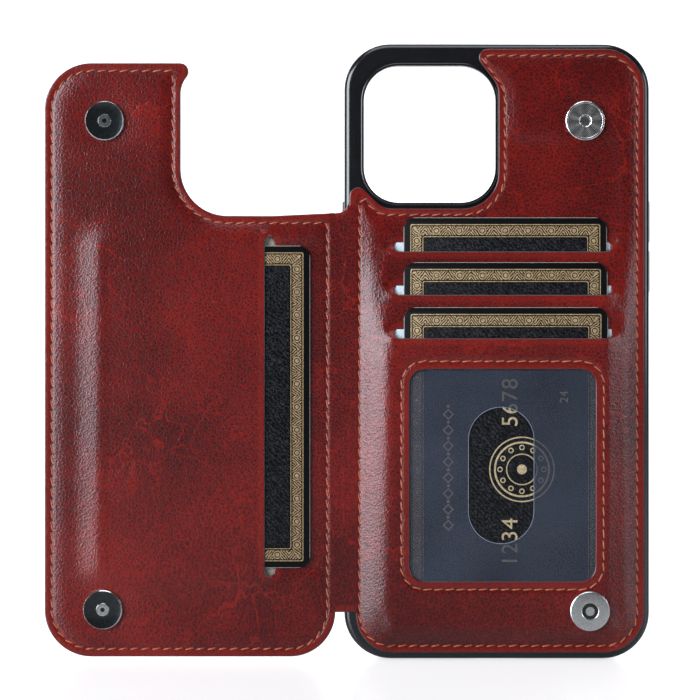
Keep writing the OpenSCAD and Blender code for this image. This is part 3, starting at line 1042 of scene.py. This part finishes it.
# Fine cross-hatching and flat facets on the polished face of a snap; the colour runs from darker to lighter
# across each facet, a painted reflection, with some random tone
def facetedMetal(name, x, z):
    material, tree, shader = newMaterial(name)
    m = mathFor(tree)
    centred = addNode(tree, "Mapping", {"Vector": objectPlace(tree), "Location": (-x * mm, 0, -z * mm)})
    across = addNode(tree, "SeparateXYZ", {"Vector": centred}, "X")
    upward = across.node.outputs["Z"]
    facet = m("PINGPONG", m("ARCTAN2", upward, across), math.pi / snap["facets"])
    lines = [
        m("PINGPONG", m("ADD", across, m("MULTIPLY", upward, tilt)), snap["hatch"]) for tilt in (1, -1)
    ]
    height = m("ADD", m("MULTIPLY", m("ADD", *lines), 1800), m("MULTIPLY", facet, 6))
    # painted reflection: the facets lighter and darker in the colour, with random tone on top
    tone = weighted(m, (facet, 1.3), (noise(tree, 500, 3), 0.6))
    setInputs(tree, shader, {
        "Base Color": ramp(tree, tone, [(0.25, (0.42, 0.41, 0.41)), (0.8, (0.85, 0.84, 0.83))]),
        "Metallic": 1.0,
        "Roughness": 0.24,
        "Normal": bump(tree, height, 0.5, 0.00006),
    })
    return material


def makeSnap(name, x, z, base, kind, material, body, node, lean=0.0):
    obj = turnedDisc(name, x, z, base, capSteps[kind], lean)
    addMaterials(obj, material, steelBright, darkSteelAndHoleShade)
    wide, deep = snap["hole"]
    top = max(v.co.y for v in obj.data.vertices) - deep * mm
    inner, outer = snap["eye"]
    for face in obj.data.polygons:
        away = math.hypot(face.center.x / mm - x, face.center.z / mm - z)
        if kind == "dark" and (away > snap["rim"] or inner < away < outer):
            face.material_index = 1
        # the floor of a bright snap's centre hole takes the dark steel: painted shade in the hole
        elif kind != "dark" and away < wide and abs(face.normal.y) > 0.9 and face.center.y > top:
            face.material_index = 2
    smoothShade(obj, 25)
    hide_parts(node)
    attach(obj, body)


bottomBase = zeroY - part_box("case_bottom_snap_cap")[1].y / mm + 0.1
makeSnap("snap_faceted", *caseTop, snap["base"], "faceted", facetedMetal("faceted steel", *caseTop),
         "case", "case_top_snap_cap")
makeSnap("snap_plain", *caseBottom, bottomBase, "plain", steelSatin, "case", "case_bottom_snap_cap",
         snap["lean"])
makeSnap("flap_snap_upper", *flapTop, snap["base"], "dark", darkSteelAndHoleShade, "flap", "flap_snap_caps")
makeSnap("flap_snap_lower", *flapBottom, snap["base"], "dark", darkSteelAndHoleShade, "flap", "flap_snap_caps")
print("snaps made")

card = {
    "corner": 3.18,
    "border": 1.9,  # from the card's edge to the gold band
    "band": 3.2,
    "line": 0.13,
    "repeat": 6.1,  # from one rosette to the next
    "phase": 61.0,  # a whole number of repeats, because the pattern folds only above 0
}


# Printed with a gold band round the edge, in mm from the card's middle
def cardMaterial(name, x, z, width, height):
    material, tree, shader = newMaterial(name)
    m = mathFor(tree)
    centred = addNode(tree, "Mapping", {
        "Vector": objectPlace(tree), "Scale": (1 / mm, 1 / mm, 1 / mm), "Location": (-x, 0, -z),
    })
    across = addNode(tree, "SeparateXYZ", {"Vector": centred}, "X")
    upward = across.node.outputs["Z"]
    fromSide = m("SUBTRACT", width / 2, m("ABSOLUTE", across))
    fromTop = m("SUBTRACT", height / 2, m("ABSOLUTE", upward))
    edge = m("SMOOTH_MIN", fromSide, fromTop, 0.8)
    inBand = m("SUBTRACT", edge, card["border"])

    def stripe(distance, at, wide):
        return m("LESS_THAN", m("ABSOLUTE", m("SUBTRACT", distance, at)), wide)

    gold = stripe(inBand, 0.0, card["line"])
    gold = m("MAXIMUM", gold, stripe(inBand, card["band"], card["line"] * 0.8))
    ragged = m("MULTIPLY", m("SUBTRACT", noise(tree, 900, 2), 0.5), 0.9)
    acrossBand = m("SUBTRACT", inBand, card["band"] / 2)
    inside = m("LESS_THAN", m("ABSOLUTE", acrossBand), card["band"] / 2 - 0.4)
    for along, other in ((across, fromTop), (upward, fromSide)):
        # rosettes with a ring and a middle, and slanted leaves between them
        fromRosette = m("PINGPONG", m("ADD", along, card["phase"]), card["repeat"] / 2)
        reach = m("SQRT", m("ADD", m("POWER", fromRosette, 2.0), m("POWER", m("ABSOLUTE", acrossBand), 2.0)))
        rosette = m("MAXIMUM", m("LESS_THAN", reach, 0.55), stripe(reach, 0.95, 0.17))
        slanted = m("ADD", m("ADD", fromRosette, m("MULTIPLY", acrossBand, 0.8)), ragged)
        leaf = m("LESS_THAN", m("PINGPONG", m("ADD", slanted, 50.0), 0.36), 0.2)
        leaf = m("MULTIPLY", leaf, m("GREATER_THAN", reach, 1.25))
        ornament = m("MULTIPLY", m("MAXIMUM", rosette, leaf), m("LESS_THAN", other, m("ADD", edge, 0.3)))
        gold = m("MAXIMUM", gold, m("MULTIPLY", ornament, inside))
    gold = m("MULTIPLY", gold, m("GREATER_THAN", inBand, -0.5))
    worn = noise(tree, 1700, 3)
    gold = m("MINIMUM", m("MULTIPLY", gold, m("MULTIPLY_ADD", worn, 0.8, 0.45)), 1.0)
    field = addNode(tree, "TexWave", {
        "Vector": objectPlace(tree), "Scale": 420, "Distortion": 9, "Detail": 2, "Detail Scale": 3,
    }, "Fac", bands_direction="DIAGONAL")
    inner = m("GREATER_THAN", inBand, card["band"] + 0.4)
    black = ramp(tree, m("MULTIPLY", field, inner),
                 [(0.0, (0.002, 0.002, 0.0025)), (0.7, (0.005, 0.005, 0.006)), (1.0, (0.028, 0.029, 0.033))])
    foil = ramp(tree, worn, [(0.3, (0.32, 0.22, 0.11)), (0.7, (0.66, 0.48, 0.27))])
    printed = colorMix(tree, gold, black, foil)
    rim = m("LESS_THAN", edge, card["line"])
    height = m("ADD", gold, m("MULTIPLY", field, 0.4))
    setInputs(tree, shader, {
        "Base Color": colorMix(tree, rim, printed, (0.32, 0.31, 0.28, 1)),
        "Metallic": m("MULTIPLY", gold, 0.4),
        "Roughness": 0.35,
        "Specular IOR Level": 0.2,
        "Normal": bump(tree, height, 0.3, 0.00003),
    })
    return material


goldFoil = plainMaterial("gold foil", (0.62, 0.5, 0.3), 0.4, metallic=0.6, grain=2500, shade=0.3)


def makeCard(node, body, lean):
    low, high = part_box(node)
    middle = (low + high) / 2 / mm
    size = (high - low) / mm
    obj = roundedBlock(node + "_plate", middle, (size.x, cardThick, size.z), card["corner"], 8)
    for facing in (-1, 1):
        roundRim(obj, "y", facing, 0.12, 2)
    pick(obj, "vertices", lambda v: True)
    bpy.ops.transform.rotate(value=-lean, orient_axis="X", center_override=middle * mm)
    bpy.ops.object.mode_set(mode="OBJECT")
    obj.data.materials.append(cardMaterial(node + " print", middle.x, middle.z, size.x, size.z))
    smoothShade(obj, 40)
    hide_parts(node)
    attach(obj, body)


def cardLean(i):
    back = cardBacks[i]
    return math.atan2(back(100) - back(0), 100)


for i, node in enumerate(cardNodes):
    makeCard(node, node, cardLean(i))
makeCard("flap_card", "flap_card", 0.0)


printing = {
    "lift": 0.03,
    "numbers": (("1234", 3.3, 31.5, 6), ("5678", 3.3, 68.5, 6), ("24", 17.5, 70, 3)),  # x, z, size
    "centre": (6.3, 50.8),
    "rings": ((8.7, 0.35), (7.4, 0.5), (4.2, 0.3), (1.3, 1.3)),  # radius and width
    "dots": (12, 5.8, 0.75, 0.3),  # how many, how far out, radius and width
    "diamonds": (-13.2, 36, 66, 4.2),  # x, first and last z, spacing
}


# Flat printed shapes a hair in front of the bottom card, lettering left out
def makeCardPrint():
    pieces = []

    def face(z):
        return (zeroY - cardBacks[2](z) - cardThick - printing["lift"]) * mm

    def keep(obj):
        obj.data.materials.clear()
        obj.data.materials.append(goldFoil)
        pieces.append(obj)

    def number(text, x, z, size):
        curve = bpy.data.curves.new("number", "FONT")
        curve.body = text
        curve.size = size * mm
        curve.space_character = 1.1
        curve.align_x = "CENTER"
        curve.align_y = "CENTER"
        obj = bpy.data.objects.new("number", curve)
        bpy.context.scene.collection.objects.link(obj)
        obj.location = (x * mm, face(z), z * mm)
        obj.rotation_euler = (math.radians(90), math.radians(-90), 0)
        choose(obj)
        bpy.ops.object.convert(target="MESH")
        bpy.ops.object.transform_apply(location=True, rotation=True, scale=True)
        keep(bpy.context.object)

    def ring(x, z, outer, wide, sides=48):
        deselectAll()
        bpy.ops.mesh.primitive_circle_add(
            vertices=sides, radius=outer * mm, fill_type="NGON",
            location=(x * mm, face(z), z * mm), rotation=(math.radians(90), 0, 0))
        obj = bpy.context.object
        bpy.ops.object.transform_apply(location=True, rotation=True, scale=True)
        if wide < outer:
            pick(obj, "polygons", lambda f: True)
            bpy.ops.mesh.inset(thickness=wide * mm)
            bpy.ops.mesh.delete(type="FACE")
            bpy.ops.object.mode_set(mode="OBJECT")
        keep(obj)

    for text, x, z, size in printing["numbers"]:
        number(text, x, z, size)
    x, z = printing["centre"]
    for outer, wide in printing["rings"]:
        ring(x, z, outer, wide)
    count, reach, outer, wide = printing["dots"]
    for k in range(count):
        a = 2 * math.pi * k / count
        ring(x + reach * math.cos(a), z + reach * math.sin(a), outer, wide, 12)
    x, first, last, spacing = printing["diamonds"]
    for z in np.arange(first, last, spacing):
        ring(x, z, 1.5, 0.35, 4)
        ring(x, z + spacing / 2, 0.45, 0.45, 12)
    deselectAll()
    for obj in pieces:
        obj.select_set(True)
    bpy.context.view_layer.objects.active = pieces[0]
    bpy.ops.object.join()
    obj = bpy.context.object
    obj.name = "card_printing"
    for vertex in obj.data.vertices:
        vertex.co.y = face(vertex.co.z / mm)
    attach(obj, "card_bottom")


makeCardPrint()
print("cards made")

film = {
    "margin": 1.8,
    "thick": 0.2,
    "gap": 0.07,  # between the film and the card
    "thumb": (0.8, 49.2, 17.2, 36),  # x, z, width, height of the hole for a thumb
    "rings": [0.15, 0.4],
    "step": 3,
    "clear": (0.36, 0.46),  # how much of the card the haze hides
}


def filmMaterial():
    material, tree, shader = newMaterial("window film")
    haze = noise(tree, 60, 4)
    setInputs(tree, shader, {
        "Base Color": ramp(tree, haze, [(0.3, (0.038, 0.046, 0.066)), (0.7, (0.06, 0.07, 0.1))]),
        "Alpha": spreadTo(tree, haze, *film["clear"]),
        "Roughness": 0.22,
        "Normal": bump(tree, noise(tree, 90, 2, (1, 1, 0.5)), 0.3, 0.0002),
    })
    return material


def makeFilm():
    x, z, w, h = film["thumb"]
    thumb = roundedBox(x - w / 2, z - h / 2, x + w / 2, z + h / 2, endRadius(w), 0.6)
    outline = offsetOutline(windowOutline, -film["margin"])

    def back(x, z, edge):
        return cardBacks[2](z) + cardThick + film["gap"]

    obj = cutSheet("window_sheet", outline, [thumb], lambda x, z, edge: back(x, z, edge) + film["thick"],
                   back, rings=film["rings"], step=film["step"])
    addMaterials(obj, filmMaterial(), plainMaterial("film edge", (0.2, 0.23, 0.28), 0.25))
    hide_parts("window_film")
    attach(obj, "case")


makeFilm()

# What the leather hides keeps its own shape, in its own finish
for node, material in (
    ("slot_linings", liningPale), ("flap_pocket_lining", liningPale), ("flap_board", boardGrey),
    ("case_snap_magnets", magnetGrey), ("case_snap_posts", steelBright), ("case_snap_washers", steelSatin),
    ("flap_snap_plates", steelSatin), ("flap_snap_eyelets", steelBright), ("flap_snap_washers", steelSatin),
):
    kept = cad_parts[node]
    kept.data.materials.clear()
    kept.data.materials.append(material)
print("hidden parts finished")

# Each light's place, size and power, then the values of the floor, the backdrop and the world
studioLook = {
    "lights": {
        "key": ((-0.85, -0.62, 0.3), 0.8, 21),
        "fill": ((0.9, -0.55, 0.3), 0.5, 3),
        "top": ((-0.1, -0.3, 1.0), 0.7, 4),
        "back": ((0.4, 0.95, 0.8), 0.6, 5),
    },
    "lightColor": (0.87, 0.92, 1.0),
    "aim": (-0.04, 0, 0.08),
    "floor": (0.5, 0.25, 0.62),  # grey, roughness, and the glow that makes it pale to look at
    "backdrop": (0.9, 0.5, 0.9),
    "world": (0.9, 0.06),  # brightness added where it is seen, and brightness as a light
}


# A stage piece's grey, glowing material. With seenOnly the glow is seen but lights nothing
def stageMaterial(name, grey, roughness, glow, seenOnly):
    material, tree, shader = newMaterial(name)
    if seenOnly:
        glow = mathFor(tree)("MULTIPLY", addNode(tree, "LightPath", {}, "Is Camera Ray"), glow)
    setInputs(tree, shader, {
        "Base Color": (grey, grey, grey, 1),
        "Roughness": roughness,
        "Emission Color": (1, 1, 1, 1),
        "Emission Strength": glow,
    })
    return material


def studio():
    bpy.ops.mesh.primitive_plane_add(size=4, location=(0, 0, -0.0002))
    floor = bpy.context.object
    floor.name = "floor"
    addMaterials(floor, stageMaterial("pale floor", *studioLook["floor"], True))
    bpy.ops.mesh.primitive_plane_add(size=4, location=(0, 1.2, 0.5), rotation=(math.radians(90), 0, 0))
    wall = bpy.context.object
    wall.name = "backdrop"
    addMaterials(wall, stageMaterial("white backdrop", *studioLook["backdrop"], False))
    world = bpy.data.worlds.new("studio")
    bpy.context.scene.world = world
    world.use_nodes = True
    # white behind the object, dim as a light
    tree = world.node_tree
    seen = addNode(tree, "LightPath", {}, "Is Camera Ray")
    bright = mathFor(tree)("MULTIPLY_ADD", seen, *studioLook["world"])
    setInputs(tree, tree.nodes["Background"], {"Color": (1, 1, 1, 1), "Strength": bright})
    for name, (place, size, power) in studioLook["lights"].items():
        lamp = bpy.data.lights.new(name, "AREA")
        lamp.size = size
        lamp.energy = power
        lamp.color = studioLook["lightColor"]
        obj = bpy.data.objects.new(name, lamp)
        obj.location = place
        aim = Vector(studioLook["aim"]) - Vector(place)
        obj.rotation_euler = aim.to_track_quat("-Z", "Y").to_euler()
        bpy.context.scene.collection.objects.link(obj)
    bpy.context.scene.view_settings.view_transform = "Standard"


cameraView = {"lens": 100, "target": (-0.0392, -0.002, 0.0824), "width": 0.1863}


# Straight in front of the object, as far away as makes the view as wide as it should be
def camera():
    lens = bpy.data.cameras.new("camera")
    lens.lens = cameraView["lens"]
    obj = bpy.data.objects.new("camera", lens)
    bpy.context.scene.collection.objects.link(obj)
    away = cameraView["width"] * lens.lens / lens.sensor_width
    target = Vector(cameraView["target"])
    obj.location = target + Vector((0, -away, 0))
    obj.rotation_euler = (target - obj.location).to_track_quat("-Z", "Y").to_euler()
    bpy.context.scene.camera = obj


studio()
camera()
print("scene done")
